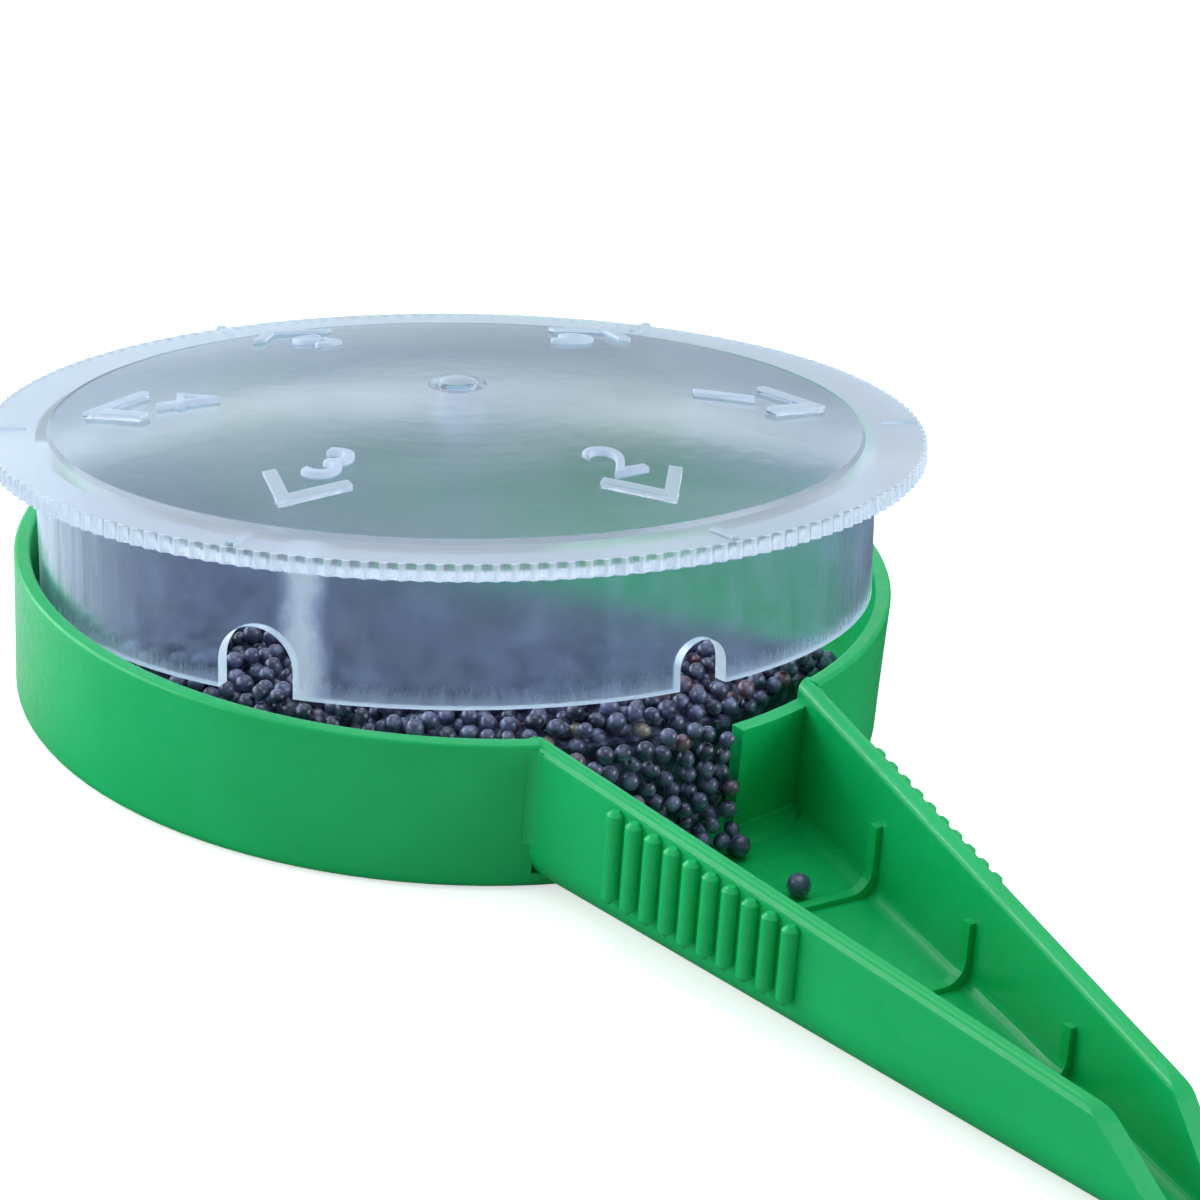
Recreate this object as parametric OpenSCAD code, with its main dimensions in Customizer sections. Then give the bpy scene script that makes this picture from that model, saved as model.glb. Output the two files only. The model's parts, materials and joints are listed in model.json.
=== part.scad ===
// Dial seed sower: a round hopper tray with a pouring chute, and a turning lid.
// Millimetres. The origin is on the hopper axis at the tray's underside,
// +X runs along the chute to its tip and +Z is up.
// The lid is drawn as it stands in use: lifted off its seat and leaning back.

/* [Hopper] */
// Outer radius of the hopper at its rim
cup_r = 32.5; // [28:0.5:38]
// Height of the hopper wall above the table
cup_h = 11.3; // [9:0.1:14]
// Thickness of the hopper wall at the rim
cup_wall = 1.2; // [0.9:0.1:1.6]
// How much smaller the outer radius is at the foot than at the rim
cup_draft = 0.3; // [0:0.05:0.4]
// Thickness of the floor of the hopper and chute
floor_t = 1.3; // [1:0.1:2]
// Radius of the rounded outer edge under the hopper
foot_round = 1; // [0.4:0.1:1.2]
// Radius of the rounding on the top edges of the tray
lip_round = 0.3; // [0.1:0.05:0.4]

/* [Gate] */
// Bearing where the wall beside the gate ends, in degrees from the chute's axis
gate_end = 7; // [4:0.5:9]
// How far the wall beside the gate stops below the rim
gate_wall_drop = 1.3; // [0.5:0.1:2.5]
// Radius of the cove at the foot of the wall beside the gate
gate_wall_cove = 1.2; // [0.5:0.1:2]

/* [Chute] */
// Distance from the hopper axis to the tip of the chute
chute_tip_x = 88.5; // [80:0.5:100]
// Outer half width of the chute where it meets the hopper
chute_mouth_half = 11.5; // [10.5:0.1:12.5]
// Outer half width of the chute at its tip
chute_tip_half = 2.75; // [2.5:0.05:4]
// Thickness of the chute's side walls
chute_wall = 1.5; // [1.2:0.1:2]
// Radius that rounds the lower outside edges of the chute
keel_round = 3.8; // [2:0.1:4]
// Radius that rounds the top edges of the chute's side walls
wall_top_round = 0.7; // [0.2:0.05:0.75]
// Height of the side walls where they start to come down to the tip
chute_nose_h = 7.7; // [6:0.1:9]
// Length of the stretch at the tip where the side walls come down
nose_run = 8; // [6:0.5:10]
// Radius that rounds the side walls into that stretch
nose_round = 5; // [2:0.5:6]
// Radius of the cove between the floor and the side walls
cove_r = 1; // [0.5:0.1:1.2]
// Radius that blends the hopper wall into the outside of the chute
neck_round = 1; // [1:0.2:3]

/* [Grip ribs and baffles] */
// Number of grip ribs on each side of the chute
rib_count = 10; // [6:1:12]
// Distance between grip ribs along the chute
rib_pitch = 1.86; // [1.6:0.02:2.1]
// Distance from the hopper axis to the first grip rib
rib_first_x = 38.6; // [37:0.2:42]
// Radius of a grip rib
rib_r = 0.6; // [0.4:0.05:0.65]
// How far a grip rib stands out from the wall
rib_proud = 0.9; // [0.6:0.05:1]
// Height of the lower ends of the grip ribs above the table
rib_foot_z = 2.8; // [2.2:0.1:5]
// Distance from the top of a grip rib up to the edge of the wall
rib_top_gap = 0.75; // [0.7:0.05:2]
// Number of baffles across the chute
baffle_count = 3; // [1:1:4]
// Distance from the hopper axis to the first baffle
baffle_first_x = 42.3; // [40:0.1:46]
// Distance between baffles
baffle_pitch = 13.3; // [9:0.1:15]
// Thickness of a baffle along the chute
baffle_t = 0.8; // [0.6:0.1:1.2]
// How far a baffle stands in from the walls
baffle_proud = 0.6; // [0.4:0.1:0.8]
// How far a baffle stands up from the floor
baffle_sill = 0.4; // [0.2:0.1:0.8]
// Share of the side wall's height that a baffle climbs
baffle_climb = 0.58; // [0.3:0.02:0.8]

/* [Dial lid] */
// Radial gap between the lid's skirt and the hopper wall
skirt_gap = 0.45; // [0.35:0.05:0.7]
// Thickness of the skirt
skirt_wall = 1.2; // [0.9:0.1:1.5]
// Height of the skirt up to the underside of the flange
skirt_h = 10.2; // [8.5:0.1:12]
// How far the flange stands out past the skirt
flange_out = 3.7; // [3:0.1:4.5]
// Thickness of the flange
flange_t = 1.2; // [0.9:0.1:1.6]
// Number of teeth milled round the flange
tooth_count = 172; // [120:2:220]
// Depth of a tooth
tooth_depth = 0.3; // [0.1:0.05:0.35]
// Thickness of the domed top
dome_t = 1; // [0.8:0.1:1.3]
// Rise of the dome from its edge to the middle
dome_rise = 2.9; // [2.3:0.1:4]
// Height of the small step from the flange up to the edge of the dome
dome_step = 0.4; // [0.2:0.05:0.6]

/* [Dial stations] */
// Number of stations round the dial
station_count = 6; // [4:1:6]
// Bearing of the second station, which faces the gate
station_bearing = 2; // [-6:0.5:6]
// Width of the smallest seed notch
notch_first_w = 2; // [1.6:0.1:2.6]
// How much wider each notch is than the one before
notch_step_w = 1.9; // [1:0.05:2]
// Height of the smallest notch's straight sides
notch_first_side = 1.1; // [0.5:0.1:1.5]
// How much taller each notch's straight sides are than the one before
notch_step_side = 0.4; // [0:0.05:0.45]
// Distance from the dial's axis to the point of an arrow mark
arrow_tip_r = 26.6; // [25:0.1:28]
// Length of an arm of an arrow mark
arrow_arm = 5.4; // [4:0.2:8]
// Half of the angle between the arms of an arrow mark
arrow_half_angle = 40; // [25:1:50]
// Width of the raised strokes
stroke_w = 0.95; // [0.5:0.05:1.2]
// Height of the raised strokes above the surface
stroke_h = 0.45; // [0.2:0.05:0.6]

/* [Centre pin] */
// Radius of the centre pin
pin_r = 0.9; // [0.7:0.05:1.2]
// Radial clearance of the pin in the lid
pin_fit = 0.05; // [0.03:0.01:0.09]
// Radius of the pin's head
pin_head_r = 1.5; // [1.4:0.1:2]
// Height of the pin's head
pin_head_h = 0.8; // [0.5:0.1:1.2]
// Radius of the lid's hub round the pin
hub_r = 2; // [1.8:0.1:2.6]
// Length of the hub below the dome
hub_len = 2.6; // [1.5:0.1:4]
// Radial gap round the pin in its socket on the floor
socket_gap = 0.5; // [0.4:0.05:0.8]
// Height of the socket above the floor
socket_h = 1.4; // [0.8:0.1:2.2]

/* [Lid position] */
// Gap under the skirt when the lid is down
seat_gap = 0.1; // [0.05:0.05:0.3]
// How high the middle of the lid stands above its seat
lid_raise = 8.4; // [8:0.1:10]
// Angle that the lid leans back
lid_lean = 6.8; // [6:0.1:7.4]
// Bearing of the lid's high side
lid_high_side = -8; // [-15:1:15]
// How far the lid is pushed towards its high side
lid_push = 0.45; // [0.35:0.05:0.5]

/* [Hidden] */
eps = 0.01;
arc_steps = 6;
dome_steps = 14;
stroke_root = 0.3;

// Hopper
cup_in_r = cup_r - cup_wall;
cup_foot_r = cup_r - cup_draft;

// Chute: half_width and wall_top are measured at a distance x from the hopper axis
chute_len = chute_tip_x - cup_r;
taper_angle = atan((chute_mouth_half - chute_tip_half) / chute_len);
nose_x = chute_tip_x - nose_run;
wall_across = chute_wall / cos(taper_angle);
function half_width(x) = chute_mouth_half - (x - cup_r) * tan(taper_angle);
mouth_bearing = asin((half_width(cup_in_r) - wall_across) / cup_in_r);
neck_x = cup_in_r * cos(mouth_bearing);
top_slope = (cup_h - chute_nose_h) / (nose_x - neck_x);
function wall_top(x) = cup_h - (x - neck_x) * top_slope;

// Lid: z is measured from the skirt's lower edge
skirt_r = cup_in_r - skirt_gap;
skirt_in_r = skirt_r - skirt_wall;
flange_r = skirt_r + flange_out;
tooth_foot_r = flange_r - tooth_depth;
flange_core_r = tooth_foot_r - 0.6;
lid_h = skirt_h + flange_t;
dome_edge_r = skirt_in_r + 0.15;
function dome_z(r) = lid_h + dome_step + dome_rise * (1 - pow(r / dome_edge_r, 2));
pin_bore_r = pin_r + pin_fit;
dimple_r = pin_head_r + 0.7;
dimple_z = dome_z(dimple_r) - 0.35;
hub_foot_z = dome_z(hub_r) - dome_t - hub_len;
closed_z = floor_t + seat_gap;
function station_turn(n) = station_bearing - (n - 2) * 360 / station_count;
function notch_w(n) = notch_first_w + (n - 1) * notch_step_w;
function notch_side(n) = notch_first_side + (n - 1) * notch_step_side;

// Points of a round stretch about a centre, from one bearing to another
function arc(centre, r, from, to) =
    [for (i = [0:arc_steps]) let (a = from + (to - from) * i / arc_steps)
        centre + r * [cos(a), sin(a)]];

// Puts a piece that is drawn in the lid's own frame where the lid stands
module as_lid_stands() {
    bearing = [cos(lid_high_side), sin(lid_high_side), 0];
    translate([0, 0, closed_z + lid_raise] + lid_push * bearing)
        rotate(a = lid_lean, v = [sin(lid_high_side), -cos(lid_high_side), 0])
            children();
}

// Hopper: floor and wall in one turned shape
module hopper_bowl() {
    rotate_extrude($fn = 180)
        polygon(concat(
            [[0, 0]],
            arc([cup_foot_r - foot_round, foot_round], foot_round, -90, 0),
            arc([cup_r - lip_round, cup_h - lip_round], lip_round, 0, 90),
            arc([cup_in_r + lip_round, cup_h - lip_round], lip_round, 90, 180),
            [[cup_in_r, floor_t], [0, floor_t]]));
}

// A wedge from the hopper axis between two bearings
module wedge(from, to, z, h) {
    reach = cup_r + gate_wall_cove + 2;
    translate([0, 0, z])
        linear_extrude(h)
            polygon([[0, 0], reach * [cos(from), sin(from)],
                     reach * [cos((from + to) / 2), sin((from + to) / 2)] * 1.03,
                     reach * [cos(to), sin(to)]]);
}

// The opening into the chute, with the lowered wall on its far side.
// Both cuts end inside the thickness of the chute's walls.
module gate_cut() {
    wedge(-mouth_bearing - 2, gate_end, floor_t, cup_h);
    wedge(gate_end - 1, mouth_bearing + 2, cup_h - gate_wall_drop, cup_h);
}

// Cove between the wall beside the gate and the chute's floor
module gate_wall_foot() {
    r = gate_wall_cove;
    root = 0.4;
    intersection() {
        wedge(gate_end, mouth_bearing + 1, floor_t - root, r + root);
        rotate_extrude($fn = 180)
            polygon(concat([[cup_in_r + root, floor_t - root], [cup_r + r, floor_t - root]],
                           arc([cup_r + r, floor_t + r], r, 270, 180),
                           [[cup_in_r + root, floor_t + r]]));
    }
}

// Side view that shapes the ends of a chute wall: only the nose cuts the bar
module nose_profile() {
    drop_angle = atan((chute_nose_h - floor_t) / nose_run);
    lead_angle = atan(top_slope);
    tangent = nose_round * tan((drop_angle - lead_angle) / 2);
    bend_start = [nose_x, chute_nose_h] - tangent * [cos(lead_angle), -sin(lead_angle)];
    bend_centre = bend_start - nose_round * [sin(lead_angle), cos(lead_angle)];
    high = 2 * cup_h;
    polygon(concat(
        [[neck_x - 3, 0], [neck_x - 3, high], [bend_start[0], high]],
        arc(bend_centre, nose_round, 90 - lead_angle, 90 - drop_angle),
        [[chute_tip_x, floor_t], [chute_tip_x, 0]]));
}

// The near side wall; the far one is its mirror image.
// It is a bar with a rounded top that runs down the slope of the wall's top.
module chute_side_wall() {
    slope_angle = atan(top_slope * cos(taper_angle));
    start_x = neck_x - 3;
    run = (chute_tip_x + 4 - start_x) / cos(taper_angle);
    r = min(wall_top_round, chute_wall / 2 - 0.02);
    intersection() {
        translate([0, cup_r, 0])
            rotate([90, 0, 0])
                linear_extrude(2 * cup_r)
                    nose_profile();
        translate([start_x, -half_width(start_x), wall_top(start_x)])
            rotate([0, 0, taper_angle])
                rotate([0, slope_angle, 0])
                    rotate([90, 0, 90])
                        linear_extrude(run)
                            polygon(concat([[0, -2 * cup_h]], [[chute_wall, -2 * cup_h]],
                                           arc([chute_wall - r, -r], r, 0, 90),
                                           arc([r, -r], r, 90, 180)));
    }
}

// What the rounding takes off the lower outside edge of the near side
module keel_cut() {
    r = keel_round;
    start_x = neck_x - 3;
    run = (chute_tip_x + 4 - start_x) / cos(taper_angle);
    out = 4;
    translate([start_x, -half_width(start_x), 0])
        rotate([0, 0, taper_angle])
            rotate([90, 0, 90])
                translate([0, 0, -1])
                    linear_extrude(run)
                        difference() {
                            translate([-out, -1])
                                square([out + r, r + 1]);
                            translate([r, r])
                                circle(r = r, $fn = 96);
                        }
}

// Cove along the foot of the near side wall, inside the chute
module chute_cove() {
    start_x = cup_in_r + 0.6;
    run = (chute_tip_x - 0.5 - start_x) / cos(taper_angle);
    translate([start_x, -half_width(start_x) + wall_across, floor_t])
        rotate([0, 0, taper_angle])
            rotate([90, 0, 90])
                linear_extrude(run)
                    polygon(concat([[-eps, -eps]], [[cove_r, -eps]],
                                   arc([cove_r, cove_r], cove_r, 270, 180),
                                   [[-eps, cove_r]]));
}

// Blend between the hopper's outer wall and the near side wall
module neck_blend() {
    // centre of the rounding: clear of the hopper and of the wall by its radius
    reach = cup_r + neck_round;
    offset_y = chute_mouth_half * cos(taper_angle) + cup_r * sin(taper_angle) + neck_round;
    turn = asin(offset_y / reach);
    centre = reach * [cos(turn - taper_angle), -sin(turn - taper_angle)];
    on_cup = centre * cup_r / reach;
    on_wall = centre + neck_round * [-sin(taper_angle), cos(taper_angle)];
    difference() {
        linear_extrude(wall_top(on_wall[0]) - wall_top_round / 2)
            polygon([on_cup * 0.99, on_cup, centre, on_wall, on_wall + [0, 0.5],
                     [on_cup[0], on_wall[1] + 0.5]]);
        translate([centre[0], centre[1], -eps])
            cylinder(r = neck_round, h = 2 * cup_h, $fn = 64);
    }
}

// One grip rib: a round bar with chamfered ends, part sunk in the wall
module grip_rib(x) {
    top = wall_top(x) - rib_top_gap;
    translate([x, -half_width(x) - rib_proud + rib_r, 0])
        rotate_extrude($fn = 32)
            polygon([[0, rib_foot_z], [rib_r, rib_foot_z + rib_r], [rib_r, top - rib_r / 2],
                     [rib_r / 2, top], [0, top]]);
}

// One baffle: a low sill across the floor that climbs both walls
module baffle(x) {
    in_half = half_width(x) - wall_across;
    climb = floor_t + (wall_top(x) - floor_t) * baffle_climb;
    open_half = in_half - baffle_proud;
    sill_z = floor_t + baffle_sill;
    r = cove_r + baffle_proud;
    root = 0.4;
    translate([x, 0, 0])
        rotate([90, 0, 90])
            linear_extrude(baffle_t)
                difference() {
                    polygon([[-in_half - root, floor_t - root], [in_half + root, floor_t - root],
                             [in_half + root, climb], [-in_half - root, climb]]);
                    polygon(concat([[open_half, climb + 1], [-open_half, climb + 1]],
                                   arc([-open_half + r, sill_z + r], r, 180, 270),
                                   arc([open_half - r, sill_z + r], r, 270, 360)));
                }
}

// The chute's floor, from inside the hopper to the tip
module chute_floor() {
    start_x = neck_x - 3;
    linear_extrude(floor_t)
        polygon([[start_x, -half_width(start_x)], [chute_tip_x, -chute_tip_half],
                 [chute_tip_x, chute_tip_half], [start_x, half_width(start_x)]]);
}

// The near side of the chute
module chute_side() {
    chute_side_wall();
    chute_cove();
    neck_blend();
}

// The row of grip ribs on the near side
module grip_ribs() {
    for (i = [0:rib_count - 1])
        grip_rib(rib_first_x + i * rib_pitch);
}

// Ring on the hopper floor that the centre pin drops into
module pin_socket() {
    bore = pin_r + socket_gap;
    translate([0, 0, floor_t - eps])
        difference() {
            cylinder(r = bore + 1, h = socket_h + eps, $fn = 48);
            translate([0, 0, -1])
                cylinder(r = bore, h = socket_h + 2, $fn = 48);
        }
}

// Chute with its lower outside edges rounded, open to the hopper
module chute() {
    difference() {
        union() {
            chute_floor();
            chute_side();
            mirror([0, 1, 0])
                chute_side();
            for (i = [0:baffle_count - 1])
                baffle(baffle_first_x + i * baffle_pitch);
        }
        keel_cut();
        mirror([0, 1, 0])
            keel_cut();
        translate([0, 0, floor_t])
            cylinder(r = cup_in_r, h = cup_h, $fn = 180);
    }
}

module tray() {
    color("#1fa84a") {
        difference() {
            hopper_bowl();
            gate_cut();
        }
        chute();
        grip_ribs();
        mirror([0, 1, 0])
            grip_ribs();
        gate_wall_foot();
        pin_socket();
    }
}

// Skirt, flange and domed top in one turned shape, with the bore for the pin
module lid_shell() {
    rotate_extrude($fn = 180)
        polygon(concat(
            [[pin_bore_r, hub_foot_z], [hub_r, hub_foot_z]],
            [for (i = [0:dome_steps])
                let (r = hub_r + (skirt_in_r - hub_r) * i / dome_steps) [r, dome_z(r) - dome_t]],
            [[skirt_in_r, 0], [skirt_r, 0], [skirt_r, skirt_h],
             [flange_core_r, skirt_h], [flange_core_r, lid_h], [dome_edge_r + 0.2, lid_h]],
            [for (i = [dome_steps:-1:0])
                let (r = dimple_r + (dome_edge_r - dimple_r) * i / dome_steps) [r, dome_z(r)]],
            [[dimple_r, dimple_z], [pin_bore_r, dimple_z]]));
}

// Teeth round the flange
module milled_edge() {
    translate([0, 0, skirt_h])
        linear_extrude(flange_t)
            difference() {
                polygon([for (i = [0:2 * tooth_count - 1])
                    let (a = i * 180 / tooth_count, r = flange_r - (i % 2) * tooth_depth)
                        r * [cos(a), sin(a)]]);
                circle(r = flange_core_r - 0.6, $fn = 180);
            }
}

// Round-topped opening at the skirt's lower edge
module seed_notch(n) {
    w = notch_w(n);
    side = notch_side(n);
    rotate([0, 0, station_turn(n)])
        translate([skirt_in_r - 2, 0, 0])
            rotate([90, 0, 90])
                linear_extrude(skirt_wall + 4)
                    union() {
                        translate([-w / 2, -1])
                            square([w, side + 1]);
                        translate([0, side])
                            circle(r = w / 2, $fn = 48);
                    }
}

// Plan of an arrow mark that points outwards
module arrow_mark() {
    for (s = [-1, 1])
        translate([arrow_tip_r, 0])
            rotate(180 + s * arrow_half_angle)
                translate([-stroke_w / 2, -stroke_w / 2])
                    square([arrow_arm, stroke_w]);
}

// Layer on the dome's surface that the raised marks are cut from
module mark_layer() {
    from = arrow_tip_r - arrow_arm - 1;
    to = arrow_tip_r + 1.5;
    rotate_extrude($fn = 180)
        polygon(concat(
            [for (i = [0:dome_steps])
                let (r = from + (to - from) * i / dome_steps) [r, dome_z(r) - stroke_root]],
            [for (i = [dome_steps:-1:0])
                let (r = from + (to - from) * i / dome_steps) [r, dome_z(r) + stroke_h]]));
}

// Index line on the flange at a station
module index_line(n) {
    rotate([0, 0, station_turn(n)])
        translate([skirt_r + 0.6, -0.3, lid_h - stroke_root])
            cube([tooth_foot_r - 0.1 - skirt_r - 0.6, 0.6, stroke_root + 0.3]);
}

module dial_lid() {
    color("#c9d6dc")
        as_lid_stands()
            difference() {
                union() {
                    lid_shell();
                    milled_edge();
                    intersection() {
                        linear_extrude(lid_h + dome_rise)
                            for (n = [1:station_count])
                                rotate(station_turn(n))
                                    arrow_mark();
                        mark_layer();
                    }
                    for (n = [1:station_count])
                        index_line(n);
                }
                for (n = [1:station_count])
                    seed_notch(n);
            }
}

module centre_pin() {
    head_z = dimple_z + 0.05;
    tip_z = socket_gap / 2;
    collar_z = hub_foot_z - 0.1;
    collar_r = pin_r + 0.35;
    color("#e3ebee")
        as_lid_stands()
            rotate_extrude($fn = 48)
                polygon(concat(
                    [[0, tip_z], [pin_r - 0.3, tip_z], [pin_r, tip_z + 0.5],
                     [pin_r, collar_z - 0.9], [collar_r, collar_z - 0.5], [collar_r, collar_z],
                     [pin_r, collar_z], [pin_r, head_z], [pin_head_r, head_z],
                     [pin_head_r, head_z + pin_head_h * 0.4]],
                    [for (i = [1:arc_steps])
                        let (a = 90 * i / arc_steps)
                            [pin_head_r * cos(a), head_z + pin_head_h * (0.4 + 0.6 * sin(a))]]));
}

tray();
dial_lid();
centre_pin();
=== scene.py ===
"""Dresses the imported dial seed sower: moulded plastic, numbers on the dial, seeds, light and camera."""

import json
import math
import random

import bmesh
import bpy
import numpy as np
from mathutils import Matrix, Vector


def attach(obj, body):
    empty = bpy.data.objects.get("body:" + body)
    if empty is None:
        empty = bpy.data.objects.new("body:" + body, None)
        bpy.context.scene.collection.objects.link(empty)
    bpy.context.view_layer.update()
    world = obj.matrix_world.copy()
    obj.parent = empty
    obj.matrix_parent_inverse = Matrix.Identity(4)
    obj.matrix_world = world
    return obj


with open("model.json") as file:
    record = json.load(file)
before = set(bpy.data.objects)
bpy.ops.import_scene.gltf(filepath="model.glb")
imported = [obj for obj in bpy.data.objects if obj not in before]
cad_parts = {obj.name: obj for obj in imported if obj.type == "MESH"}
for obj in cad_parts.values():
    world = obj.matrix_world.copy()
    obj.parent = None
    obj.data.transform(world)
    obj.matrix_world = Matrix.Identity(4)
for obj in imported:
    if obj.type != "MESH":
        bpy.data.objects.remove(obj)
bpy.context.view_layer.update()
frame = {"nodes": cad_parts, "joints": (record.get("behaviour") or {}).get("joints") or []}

MM = 0.001
scene = bpy.context.scene
nodes = frame["nodes"]

# The dial's own frame at rest: its origin is on the turning axis at the skirt's lower edge.
DIAL = next(j for j in frame["joints"] if j["name"] == "dial_turn")
DIAL_ORIGIN = Vector(DIAL["pos_m"])
DIAL_AXIS = Vector(DIAL["axis"]).normalized()

# Sizes of the CAD pieces that the dressing fits, in millimetres.
DOME_FOOT = 11.8
DOME_RISE = 2.9
DOME_EDGE_R = 29.8
FLOOR_Z = 1.3
STATIONS = 6
STATION_BEARING = 2.0

# Where the looks of the dial change from one region to the next, as start and end in millimetres:
# distances from the axis for IN and OUT, heights above the skirt's lower edge for TOP and FOOT.
SKIRT_IN = (29.3, 29.6)
SKIRT_TOP = (9.8, 10.2)
FLANGE_IN = (29.6, 29.9)
FLANGE_FOOT = (10.0, 10.4)
TEETH_IN = (34.15, 34.3)
MARK_OUT = (28.8, 29.2)
MARK_PROUD = (0.10, 0.25)


def dial_matrix():
    """Rest placement of the dial: local z is the turning axis and local x keeps the chute's bearing."""
    z = DIAL_AXIS
    y = z.cross(Vector((1, 0, 0))).normalized()
    x = y.cross(z)
    rot = Matrix((x, y, z)).transposed().to_4x4()
    return Matrix.Translation(DIAL_ORIGIN) @ rot


def dome_z(r):
    """Height of the dome's outer surface at a distance from the dial's axis, in millimetres."""
    return DOME_FOOT + DOME_RISE * (1 - (r / DOME_EDGE_R) ** 2)


# ---------------------------------------------------------------- material helpers


class Shader:
    """A node material, with short calls for the nodes that the looks below share."""

    def __init__(self, name):
        self.mat = bpy.data.materials.new(name)
        self.mat.use_nodes = True
        self.tree = self.mat.node_tree
        self.tree.nodes.clear()
        self.out = self.add("ShaderNodeOutputMaterial")

    def add(self, kind, **settings):
        node = self.tree.nodes.new(kind)
        for key, value in settings.items():
            setattr(node, key, value)
        return node

    def link(self, source, target):
        self.tree.links.new(source, target)

    def put(self, socket, value):
        """Links value if it is a socket, and otherwise sets it."""
        if isinstance(value, bpy.types.NodeSocket):
            self.link(value, socket)
        else:
            socket.default_value = value

    def principled(self, **inputs):
        node = self.add("ShaderNodeBsdfPrincipled")
        for key, value in inputs.items():
            self.put(node.inputs[key.replace("_", " ")], value)
        return node

    def math(self, operation, a, b=0.0, c=0.0, clamp=False):
        node = self.add("ShaderNodeMath", operation=operation, use_clamp=clamp)
        for socket, value in zip(node.inputs, (a, b, c)):
            self.put(socket, value)
        return node.outputs[0]

    def ramp(self, value, low, high, to_low=0.0, to_high=1.0):
        node = self.add("ShaderNodeMapRange", interpolation_type="SMOOTHSTEP")
        for key, v in zip(
            ("Value", "From Min", "From Max", "To Min", "To Max"),
            (value, low, high, to_low, to_high),
        ):
            self.put(node.inputs[key], v)
        return node.outputs[0]

    def span(self, value, limits, to_low=0.0, to_high=1.0):
        """A ramp between two limits in millimetres."""
        return self.ramp(value, limits[0] * MM, limits[1] * MM, to_low, to_high)

    def noise(self, vector, scale, detail=3.0, roughness=0.5):
        node = self.add("ShaderNodeTexNoise")
        self.put(node.inputs["Vector"], vector)
        self.put(node.inputs["Scale"], scale)
        self.put(node.inputs["Detail"], detail)
        self.put(node.inputs["Roughness"], roughness)
        return node.outputs["Fac"]

    def mix(self, factor, a, b):
        node = self.add("ShaderNodeMix", data_type="RGBA")
        self.put(node.inputs["Factor"], factor)
        self.put(node.inputs["A"], a)
        self.put(node.inputs["B"], b)
        return node.outputs["Result"]

    def position(self):
        return self.add("ShaderNodeTexCoord").outputs["Object"]

    def combine(self, x, y, z):
        node = self.add("ShaderNodeCombineXYZ")
        for socket, value in zip(node.inputs, (x, y, z)):
            self.put(socket, value)
        return node.outputs[0]

    def separate(self, vector):
        node = self.add("ShaderNodeSeparateXYZ")
        self.put(node.inputs[0], vector)
        return node.outputs

    def bump(self, height, distance, strength=1.0, normal=None):
        node = self.add("ShaderNodeBump")
        self.put(node.inputs["Height"], height)
        self.put(node.inputs["Distance"], distance)
        self.put(node.inputs["Strength"], strength)
        if normal is not None:
            self.link(normal, node.inputs["Normal"])
        return node.outputs[0]

    def finish(self, surface):
        self.link(surface, self.out.inputs["Surface"])
        return self.mat


def dial_position(s):
    """Texture coordinates in the dial's own frame."""
    node = s.add("ShaderNodeMapping", vector_type="TEXTURE")
    place = dial_matrix()
    s.put(node.inputs["Vector"], s.position())
    s.put(node.inputs["Location"], place.translation)
    s.put(node.inputs["Rotation"], place.to_euler())
    return node.outputs[0]


def dial_normal(s):
    """Direction of the surface in the dial's own frame."""
    node = s.add("ShaderNodeMapping", vector_type="TEXTURE")
    s.put(node.inputs["Vector"], s.add("ShaderNodeTexCoord").outputs["Normal"])
    s.put(node.inputs["Rotation"], dial_matrix().to_euler())
    return node.outputs[0]


# ---------------------------------------------------------------- materials


def green_plastic():
    """Green polypropylene: waxy depth, a soft bluish sheen, flow marks and faint scuffs."""
    s = Shader("green_plastic")
    place = s.position()
    flow = s.noise(place, 70.0, 3.0)
    colour = s.mix(s.ramp(flow, 0.35, 0.7), (0.001, 0.46, 0.112, 1), (0.003, 0.51, 0.140, 1))
    scuffs = s.noise(place, 1900.0, 3.0)
    rough = s.ramp(scuffs, 0.3, 0.75, 0.30, 0.46)
    grain = s.bump(s.noise(place, 1500.0, 3.0), 0.00002, 0.5)
    waves = s.bump(s.noise(place, 110.0, 2.0), 0.00030, 0.35, grain)
    p = s.principled(
        Base_Color=colour,
        Roughness=rough,
        IOR=1.46,
        Subsurface_Weight=0.15,
        Subsurface_Radius=(0.3, 1.0, 0.5),
        Subsurface_Scale=0.0010,
        Coat_Weight=0.12,
        Coat_Roughness=0.16,
        Normal=waves,
    )
    return s.finish(p.outputs[0])


# Bearing of the pale band down the skirt, a painted reflection of a light streak.
REFLECTION_BAND_BEARING = -51.6
# Number of teeth round the flange; each tooth's crest gets a painted highlight, a whiter veil.
TEETH = 172


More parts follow.
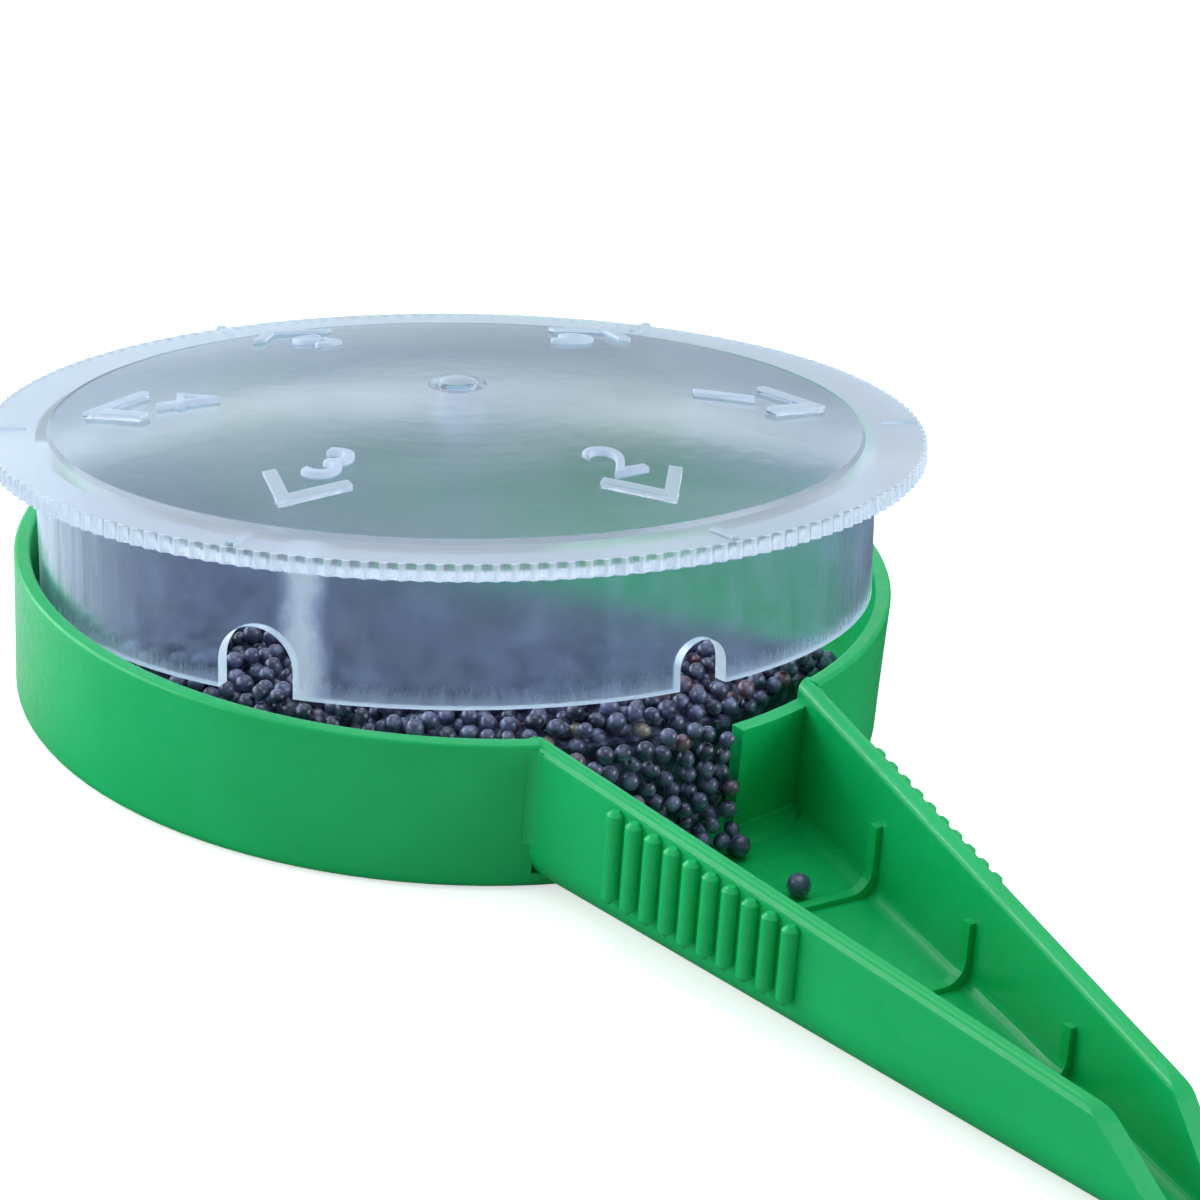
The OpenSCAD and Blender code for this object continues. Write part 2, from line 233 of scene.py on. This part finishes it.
def milky_plastic(name, veil, rough_low, rough_high, tint=0.0):
    """See-through moulded plastic with a blue-white veil, a pale band down the skirt that is a painted
    reflection, frosted edges and teeth with painted highlights.

    The veil is a share of diffuse and translucent plastic over the clear one. The share and its
    colour follow the place on the dial. Light, and what shines in the tray, passes through.
    """
    s = Shader(name)
    place = dial_position(s)
    x, y, z = s.separate(place)
    radius = s.math("SQRT", s.math("ADD", s.math("MULTIPLY", x, x), s.math("MULTIPLY", y, y)))
    bearing = s.math("ARCTAN2", y, x)
    around = s.combine(s.math("MULTIPLY", bearing, 30 * MM), s.math("MULTIPLY", z, 0.05), 0.0)
    fine_lines = s.noise(around, 2600.0, 3.0, 0.6)
    broad_lines = s.noise(around, 420.0, 2.0, 0.5)
    mottle = s.noise(place, 330.0, 4.0, 0.6)
    on_skirt = s.math("MULTIPLY", s.span(radius, SKIRT_IN), s.span(z, SKIRT_TOP, 1.0, 0.0))
    streak_top = s.ramp(fine_lines, 0.3, 0.7, 0.8 * MM, 1.7 * MM)
    streak = s.math("DIVIDE", s.math("SUBTRACT", streak_top, z), 2.0 * MM, clamp=True)
    frost = s.math("MULTIPLY", streak, on_skirt)
    nx, ny, _ = s.separate(dial_normal(s))
    towards = s.math("ADD", s.math("MULTIPLY", nx, x), s.math("MULTIPLY", ny, y))
    towards = s.math("DIVIDE", s.math("ABSOLUTE", towards), radius)
    cut_face = s.math("MULTIPLY", s.ramp(towards, 0.3, 0.7, 1.0, 0.0), on_skirt)
    cloud = s.noise(place, 60.0, 3.0)
    flange = s.math("MULTIPLY", s.span(radius, FLANGE_IN), s.span(z, FLANGE_FOOT))
    # Painted highlights on the teeth: the crests of the flange's teeth get more of the veil.
    crest = s.ramp(s.math("COSINE", s.math("MULTIPLY", bearing, TEETH)), -0.3, 0.8)
    rim = s.span(radius, TEETH_IN)
    painted_crest_highlight = s.math("MULTIPLY", crest, rim)
    dome = s.math("MULTIPLY_ADD", s.math("MULTIPLY", radius, radius),
                  -DOME_RISE / (DOME_EDGE_R ** 2 * MM), (DOME_FOOT + DOME_RISE) * MM)
    proud = s.math("SUBTRACT", z, dome)
    mark = s.math("MULTIPLY", s.span(proud, MARK_PROUD), s.span(radius, MARK_OUT, 1.0, 0.0))
    # Painted reflection: a pale vertical band down the skirt gets a whiter colour and more veil.
    reflection_band_reach = s.math("ABSOLUTE", s.math("SUBTRACT", bearing, math.radians(REFLECTION_BAND_BEARING)))
    reflection_band_reach = s.math("MULTIPLY_ADD", mottle, 0.09, s.math("SUBTRACT", reflection_band_reach, 0.045))
    painted_reflection_band = s.math("MULTIPLY", s.ramp(reflection_band_reach, 0.004, 0.07, 1.0, 0.0), on_skirt)
    whiter = s.math("MAXIMUM", s.math("MAXIMUM", mark, flange), s.math("MAXIMUM", cut_face, painted_reflection_band))
    whiter = s.math("MAXIMUM", s.math("MAXIMUM", whiter, s.math("MULTIPLY", frost, 0.8)), tint)
    veil_colour = s.mix(whiter, (0.50, 0.64, 1.0, 1), (0.80, 0.88, 1.0, 1))
    rough = s.math("ADD", s.ramp(cloud, 0.3, 0.7, rough_low, rough_high), s.math("MULTIPLY", frost, 0.25))
    lines_bump = s.bump(fine_lines, 0.00008, s.math("MULTIPLY", on_skirt, 0.25))
    wide_bump = s.bump(broad_lines, 0.0003, s.math("MULTIPLY", on_skirt, 0.22), lines_bump)
    skin = s.bump(mottle, 0.00008, 0.3, wide_bump)
    clear = s.principled(
        Base_Color=(0.78, 0.90, 0.99, 1),
        Roughness=rough,
        IOR=1.45,
        Transmission_Weight=1.0,
        Normal=skin,
    )
    milk = s.add("ShaderNodeBsdfTranslucent")
    s.put(milk.inputs["Color"], veil_colour)
    paint = s.add("ShaderNodeBsdfDiffuse")
    s.put(paint.inputs["Color"], veil_colour)
    both = s.add("ShaderNodeMixShader")
    s.put(both.inputs[0], 0.6)
    s.link(milk.outputs[0], both.inputs[1])
    s.link(paint.outputs[0], both.inputs[2])
    veiled = s.add("ShaderNodeMixShader")
    lines_veil = s.math("MULTIPLY", on_skirt, s.ramp(broad_lines, 0.5, 0.72, 0.0, 0.04))
    blotches = s.math("MULTIPLY", on_skirt, s.ramp(mottle, 0.40, 0.72, 0.0, 0.07))
    lines_veil = s.math("ADD", lines_veil, blotches)
    amount = s.math("ADD", s.ramp(cloud, 0.3, 0.7, veil * 0.8, veil * 1.2), s.math("MULTIPLY", frost, 0.24))
    amount = s.math("ADD", amount, lines_veil)
    amount = s.math("ADD", amount, s.math("MULTIPLY", painted_reflection_band, 0.48))
    amount = s.math("ADD", amount, s.math("MULTIPLY", flange, s.math("MULTIPLY_ADD", rim, -0.05, 0.25)))
    # Painted highlight on each tooth crest.
    amount = s.math("ADD", amount, s.math("MULTIPLY", painted_crest_highlight, 0.42))
    # Painted light: the skirt gets more veil towards its right side, so that side looks lighter.
    painted_right_light = s.math("MULTIPLY", on_skirt, s.ramp(bearing, 0.0, 1.0, 0.0, 0.06))
    amount = s.math("ADD", amount, painted_right_light)
    amount = s.math("MAXIMUM", amount, s.math("MULTIPLY", cut_face, 0.8))
    amount = s.math("MAXIMUM", amount, s.math("MULTIPLY", mark, 0.72))
    s.put(veiled.inputs[0], amount)
    s.link(clear.outputs[0], veiled.inputs[1])
    s.link(both.outputs[0], veiled.inputs[2])
    ray = s.add("ShaderNodeLightPath")
    through = s.add("ShaderNodeBsdfTransparent")
    s.put(through.inputs["Color"], (0.95, 0.97, 0.99, 1))
    lit = s.math("MAXIMUM", ray.outputs["Is Shadow Ray"], ray.outputs["Is Diffuse Ray"])
    glossy, refracted = ray.outputs["Is Glossy Ray"], ray.outputs["Is Transmission Ray"]
    lit = s.math("MAXIMUM", lit, s.math("SUBTRACT", glossy, refracted, clamp=True))
    lets_light = s.add("ShaderNodeMixShader")
    s.put(lets_light.inputs[0], s.math("MULTIPLY", lit, s.math("MULTIPLY_ADD", amount, -0.6, 1.0)))
    s.link(veiled.outputs[0], lets_light.inputs[1])
    s.link(through.outputs[0], lets_light.inputs[2])
    return s.finish(lets_light.outputs[0])


def seed_coat():
    """Blue-black to brown seed coats with pale dust and a soft shine. Each seed has its own tone."""
    s = Shader("seed_coat")
    tone = s.add("ShaderNodeAttribute", attribute_name="tone").outputs["Fac"]
    place = s.position()
    dark = s.mix(s.ramp(tone, 0.1, 0.9), (0.012, 0.015, 0.038, 1), (0.075, 0.085, 0.170, 1))
    warm = s.mix(s.ramp(tone, 0.91, 0.96), dark, (0.12, 0.045, 0.055, 1))
    pale = s.mix(s.ramp(tone, 0.978, 0.990), warm, (0.36, 0.28, 0.18, 1))
    dust = s.noise(place, 1100.0, 3.0)
    colour = s.mix(s.ramp(dust, 0.42, 0.74, 0.0, 0.60), pale, (0.28, 0.32, 0.54, 1))
    grain = s.bump(s.noise(place, 3200.0, 2.0), 0.00006, 0.7)
    p = s.principled(
        Base_Color=colour,
        Roughness=s.ramp(dust, 0.3, 0.8, 0.28, 0.42),
        IOR=1.62,
        Specular_Tint=(0.82, 0.86, 1.0, 1),
        Coat_Weight=0.5,
        Coat_Roughness=0.2,
        Normal=grain,
    )
    return s.finish(p.outputs[0])


GREEN = green_plastic()
MILKY = milky_plastic("milky_plastic", 0.06, 0.17, 0.27)
MARKS = milky_plastic("raised_marks", 0.72, 0.12, 0.2, 1.0)
SEED = seed_coat()


def dress(obj, material, angle=32):
    """Gives a CAD node its material, with round shading where its faces meet smoothly."""
    obj.data.materials.clear()
    obj.data.materials.append(material)
    obj.data.polygons.foreach_set("use_smooth", [True] * len(obj.data.polygons))
    obj.data.set_sharp_from_angle(angle=math.radians(angle))


dress(nodes["tray"], GREEN)
dress(nodes["dial_lid"], MILKY)
dress(nodes["centre_pin"], MILKY)


# ---------------------------------------------------------------- numbers on the dial

DIGIT_R = 20.0
DIGIT_SIZE = 6.6
DIGIT_PROUD = 0.38


def number(n):
    """A raised plain number that follows the dome, with its foot outwards."""
    curve = bpy.data.curves.new("number_curve", "FONT")
    curve.body = str(n)
    curve.size = DIGIT_SIZE
    curve.align_x = "CENTER"
    curve.align_y = "CENTER"
    curve.extrude = 0.24
    curve.offset = -0.13
    curve.bevel_depth = 0.16
    curve.bevel_resolution = 2
    curve.resolution_u = 6
    text = bpy.data.objects.new("number_text", curve)
    scene.collection.objects.link(text)
    bpy.context.view_layer.update()
    mesh = bpy.data.meshes.new_from_object(text.evaluated_get(bpy.context.evaluated_depsgraph_get()))
    bpy.data.objects.remove(text)
    bearing = math.radians(STATION_BEARING - (n - 2) * 360 / STATIONS)
    cos, sin = math.cos(bearing), math.sin(bearing)
    for v in mesh.vertices:
        out = DIGIT_R - v.co.y
        side = v.co.x
        r = math.hypot(out, side)
        z = dome_z(r) + DIGIT_PROUD - 0.4 + v.co.z
        v.co = Vector((out * cos - side * sin, out * sin + side * cos, z)) * MM
    mesh.transform(dial_matrix())
    mesh.materials.append(MARKS)
    obj = bpy.data.objects.new(f"number_{n}", mesh)
    scene.collection.objects.link(obj)
    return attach(obj, "lid_body")


for n in range(1, STATIONS + 1):
    number(n)


# ---------------------------------------------------------------- seeds

SEED_R = 0.67
LOOSE_R = 0.93
SKIRT_PATH = (29.35, 31.15)
PIN_CLEAR = 2.6
CHUTE_IN_HALF = 10.0
GATE_END = 5.8
HEAP_SIDE = (0.57, -0.82)
SPILL_R = 34.8
PILE_DEPTH = 2.7
PILE_TRIES = 18
PILE_MISSES = 240
PILE_SEEDS = 5200


def heap_top(x, y):
    """Height of the seeds' surface: level with the rim on the near side, then a slope to the bare floor."""
    r = math.hypot(x, y)
    if r > SKIRT_PATH[1]:
        return 11.2 - 3.1 * (r - 31.9)
    along = x * HEAP_SIDE[0] + y * HEAP_SIDE[1]
    return 11.1 - 0.55 * max(0.0, 1.0 - along) + 0.35 * math.sin(0.9 * x) * math.cos(0.8 * y)


def seed_place_is_free(x, y):
    """Seeds keep clear of the path of the lid's skirt, of the pin and of the tray's walls."""
    r = math.hypot(x, y)
    if r < SKIRT_PATH[0] - SEED_R:
        return r > PIN_CLEAR
    if r < SKIRT_PATH[1] + SEED_R:
        return False
    wall = CHUTE_IN_HALF - 0.156 * (x - 32.5) - SEED_R
    return -wall < y and math.degrees(math.atan2(y, x)) < GATE_END


def pile():
    """Drops seeds one by one, each into the lowest of some random places, until the heap is full."""
    rng = np.random.default_rng(7)
    spots = np.zeros((0, 4))
    full = 0
    while full < PILE_MISSES and len(spots) < PILE_SEEDS:
        tries = []
        while len(tries) < PILE_TRIES:
            if rng.random() < 0.9:
                r = 28.6 * math.sqrt(rng.random())
                a = rng.uniform(-math.pi, math.pi)
            else:
                r = rng.uniform(31.9, SPILL_R)
                a = math.radians(rng.uniform(-18.0, GATE_END))
            x, y = r * math.cos(a), r * math.sin(a)
            if seed_place_is_free(x, y):
                tries.append((x, y))
        size = SEED_R * rng.uniform(0.90, 1.10)
        best = None
        for x, y in tries:
            outside = math.hypot(x, y) > SKIRT_PATH[1]
            z = FLOOR_Z + size if outside else max(heap_top(x, y) - PILE_DEPTH, FLOOR_Z + size)
            if len(spots):
                flat = np.hypot(spots[:, 0] - x, spots[:, 1] - y)
                reach = (spots[:, 3] + size) * 0.97
                near = flat < reach
                if near.any():
                    lift = spots[near, 2] + np.sqrt(reach[near] ** 2 - flat[near] ** 2)
                    z = max(z, float(lift.max()))
            room = heap_top(x, y) - size * 0.6 - z
            if room > 0 and (best is None or room > best[0]):
                best = (room, x, y, z)
        if best is None:
            full += 1
            continue
        spots = np.vstack([spots, (best[1], best[2], best[3], size)])
    return spots


LOOSE_SEEDS = ((34.3, 2.9), (41.0, 3.25))


def seeds():
    """One mesh of many seeds: slightly flattened balls, each with its own tone."""
    rng = random.Random(11)
    ball = bmesh.new()
    bmesh.ops.create_icosphere(ball, subdivisions=2, radius=1.0)
    ball_co = np.array([v.co[:] for v in ball.verts])
    ball_faces = np.array([[v.index for v in f.verts] for f in ball.faces])
    ball.free()
    spots = [tuple(s) for s in pile()]
    spots += [(x, y, FLOOR_Z + LOOSE_R, LOOSE_R) for x, y in LOOSE_SEEDS]
    verts, faces, tones = [], [], []
    for i, (x, y, z, size) in enumerate(spots):
        angle = rng.uniform(0, math.pi)
        axis = Vector((rng.gauss(0, 1), rng.gauss(0, 1), rng.gauss(0, 1)))
        turn = Matrix.Rotation(angle, 3, axis)
        squeeze = Matrix.Diagonal((1.0, rng.uniform(0.92, 1.0), rng.uniform(0.88, 0.98)))
        shape = np.array(turn @ squeeze)
        verts.append((ball_co @ shape.T) * size + (x, y, z))
        faces.append(ball_faces + i * len(ball_co))
        tones.append(rng.random())
    co = np.concatenate(verts) * MM
    tri = np.concatenate(faces)
    mesh = bpy.data.meshes.new("seeds")
    mesh.from_pydata(co.tolist(), [], tri.tolist())
    tone = mesh.attributes.new("tone", "FLOAT", "POINT")
    tone.data.foreach_set("value", np.repeat(tones, len(ball_co)).astype(np.float32))
    mesh.polygons.foreach_set("use_smooth", [True] * len(mesh.polygons))
    mesh.materials.append(SEED)
    obj = bpy.data.objects.new("seeds", mesh)
    scene.collection.objects.link(obj)
    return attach(obj, "tray_body")


def seed_bed():
    """The seeds under the surface, as one dark body that the top layers lie on."""
    rings, steps = 10, 72
    inner, outer = PIN_CLEAR - 0.4, SKIRT_PATH[0] - 0.5
    mesh = bmesh.new()
    top, foot = [], []
    for i in range(rings + 1):
        r = inner + (outer - inner) * i / rings
        row_top, row_foot = [], []
        for j in range(steps):
            a = 2 * math.pi * j / steps
            x, y = r * math.cos(a), r * math.sin(a)
            row_top.append(mesh.verts.new((x, y, max(heap_top(x, y) - 2.0, FLOOR_Z - 0.4))))
            row_foot.append(mesh.verts.new((x, y, FLOOR_Z - 0.5)))
        top.append(row_top)
        foot.append(row_foot)
    for j in range(steps):
        k = (j + 1) % steps
        for i in range(rings):
            mesh.faces.new((top[i][j], top[i + 1][j], top[i + 1][k], top[i][k]))
            mesh.faces.new((foot[i][j], foot[i][k], foot[i + 1][k], foot[i + 1][j]))
        mesh.faces.new((top[0][j], top[0][k], foot[0][k], foot[0][j]))
        mesh.faces.new((top[-1][j], foot[-1][j], foot[-1][k], top[-1][k]))
    data = bpy.data.meshes.new("seed_bed")
    mesh.to_mesh(data)
    mesh.free()
    data.transform(Matrix.Scale(MM, 4))
    data.materials.append(SEED)
    obj = bpy.data.objects.new("seed_bed", data)
    scene.collection.objects.link(obj)
    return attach(obj, "tray_body")


seeds()
seed_bed()


# ---------------------------------------------------------------- floor, light and camera


def floor():
    """Pale floor, white to the camera, with the sower's shadow. In reflections it shows a painted
    reflection: a glow that is brighter on the left.
    """
    mesh = bpy.data.meshes.new("floor")
    reach = 3.0
    mesh.from_pydata(
        [(-reach, -reach, 0), (reach, -reach, 0), (reach, reach, 0), (-reach, reach, 0)], [], [(0, 1, 2, 3)]
    )
    s = Shader("floor_with_painted_reflection")
    paint = s.add("ShaderNodeBsdfDiffuse")
    s.put(paint.inputs["Color"], (0.86, 0.86, 0.86, 1))
    glow = s.add("ShaderNodeEmission")
    ray = s.add("ShaderNodeLightPath")
    seen = s.math("MAXIMUM", ray.outputs["Is Camera Ray"], ray.outputs["Is Transmission Ray"])
    s.put(glow.inputs["Strength"], s.math("MULTIPLY", seen, 0.62))
    both = s.add("ShaderNodeAddShader")
    s.link(paint.outputs[0], both.inputs[0])
    s.link(glow.outputs[0], both.inputs[1])
    x, y, z = s.separate(s.position())
    side = s.math("ADD", s.math("MULTIPLY", x, -0.94), s.math("MULTIPLY", y, -0.34))
    away = s.math("SQRT", s.math("ADD", s.math("MULTIPLY", x, x), s.math("MULTIPLY", y, y)))
    # Painted reflection: the floor glows for mirrored rays, brighter towards the left, though it is no
    # lamp.
    painted_reflection_glow = s.add("ShaderNodeEmission")
    s.put(painted_reflection_glow.inputs["Color"], (0.80, 0.92, 1.0, 1))
    s.put(painted_reflection_glow.inputs["Strength"], s.ramp(s.math("DIVIDE", side, away), 0.2, 1.0, 0.07, 1.0))
    shown = s.add("ShaderNodeMixShader")
    s.put(shown.inputs[0], ray.outputs["Is Glossy Ray"])
    s.link(both.outputs[0], shown.inputs[1])
    s.link(painted_reflection_glow.outputs[0], shown.inputs[2])
    s.finish(shown.outputs[0])
    mesh.materials.append(s.mat)
    obj = bpy.data.objects.new("floor", mesh)
    scene.collection.objects.link(obj)


def sky():
    """Even soft light from all round, white to the camera and nearly white through the clear plastic."""
    world = bpy.data.worlds.new("studio")
    scene.world = world
    world.use_nodes = True
    tree = world.node_tree
    tree.nodes.clear()
    out = tree.nodes.new("ShaderNodeOutputWorld")
    lit = tree.nodes.new("ShaderNodeBackground")
    lit.inputs["Color"].default_value = (0.80, 0.90, 1.0, 1)
    lit.inputs["Strength"].default_value = 0.36
    white = tree.nodes.new("ShaderNodeBackground")
    white.inputs["Strength"].default_value = 1.0
    mix = tree.nodes.new("ShaderNodeMixShader")
    ray = tree.nodes.new("ShaderNodeLightPath")
    seen = tree.nodes.new("ShaderNodeMath")
    seen.operation = "MULTIPLY_ADD"
    seen.use_clamp = True
    tree.links.new(ray.outputs["Is Transmission Ray"], seen.inputs[0])
    seen.inputs[1].default_value = 0.7
    tree.links.new(ray.outputs["Is Camera Ray"], seen.inputs[2])
    tree.links.new(seen.outputs[0], mix.inputs[0])
    tree.links.new(lit.outputs[0], mix.inputs[1])
    tree.links.new(white.outputs[0], mix.inputs[2])
    tree.links.new(mix.outputs[0], out.inputs["Surface"])


def lamp(name, place, aim, size, power, colour=(1, 1, 1)):
    """A square soft light at a place, turned towards a point."""
    data = bpy.data.lights.new(name, "AREA")
    data.shape = "RECTANGLE"
    data.size, data.size_y = size
    data.energy = power
    data.color = colour
    obj = bpy.data.objects.new(name, data)
    obj.location = place
    obj.rotation_euler = (Vector(aim) - Vector(place)).to_track_quat("-Z", "Y").to_euler()
    obj.visible_camera = False
    scene.collection.objects.link(obj)


def camera():
    """The photograph's view: a long lens, slightly rolled, a third of a metre from the hopper."""
    place = Vector((253.4, -162.2, 140.7)) * MM
    aim = Vector((21.6, -3.2, 15.7)) * MM
    roll = math.radians(-4.09)
    focal_px, image_px = 4407.0, 1200.0
    centre_px = (579.6, 615.9)
    data = bpy.data.cameras.new("camera")
    data.sensor_width = 36.0
    data.lens = focal_px / image_px * data.sensor_width
    data.shift_x = (image_px / 2 - centre_px[0]) / image_px
    data.shift_y = (centre_px[1] - image_px / 2) / image_px
    data.clip_start = 0.01
    obj = bpy.data.objects.new("camera", data)
    look = (aim - place).normalized()
    right = look.cross(Vector((0, 0, 1))).normalized()
    up = right.cross(look)
    side = right * math.cos(roll) - up * math.sin(roll)
    head = right * math.sin(roll) + up * math.cos(roll)
    obj.matrix_world = Matrix.Translation(place) @ Matrix((side, head, -look)).transposed().to_4x4()
    scene.collection.objects.link(obj)
    scene.camera = obj


floor()
sky()
lamp("window", (-0.32, -0.38, 0.20), (0.02, 0, 0.01), (0.70, 0.40), 2.7, (0.88, 0.95, 1.0))
lamp("left_window", (-0.47, -0.15, 0.21), (0.04, 0, 0.01), (0.26, 0.16), 0.4, (0.90, 0.94, 1.0))
lamp("overhead", (-0.05, 0.05, 0.55), (0.02, 0, 0), (0.5, 0.5), 1.4, (0.94, 0.97, 1.0))
lamp("right_card", (0.28, 0.26, 0.16), (0.02, 0, 0.02), (0.25, 0.20), 0.6, (0.97, 0.98, 1.0))
lamp("far_card", (-0.50, 0.30, 0.15), (0, 0, 0.02), (0.50, 0.09), 0.32, (0.88, 0.90, 1.0))
camera()
scene.view_settings.view_transform = "Standard"
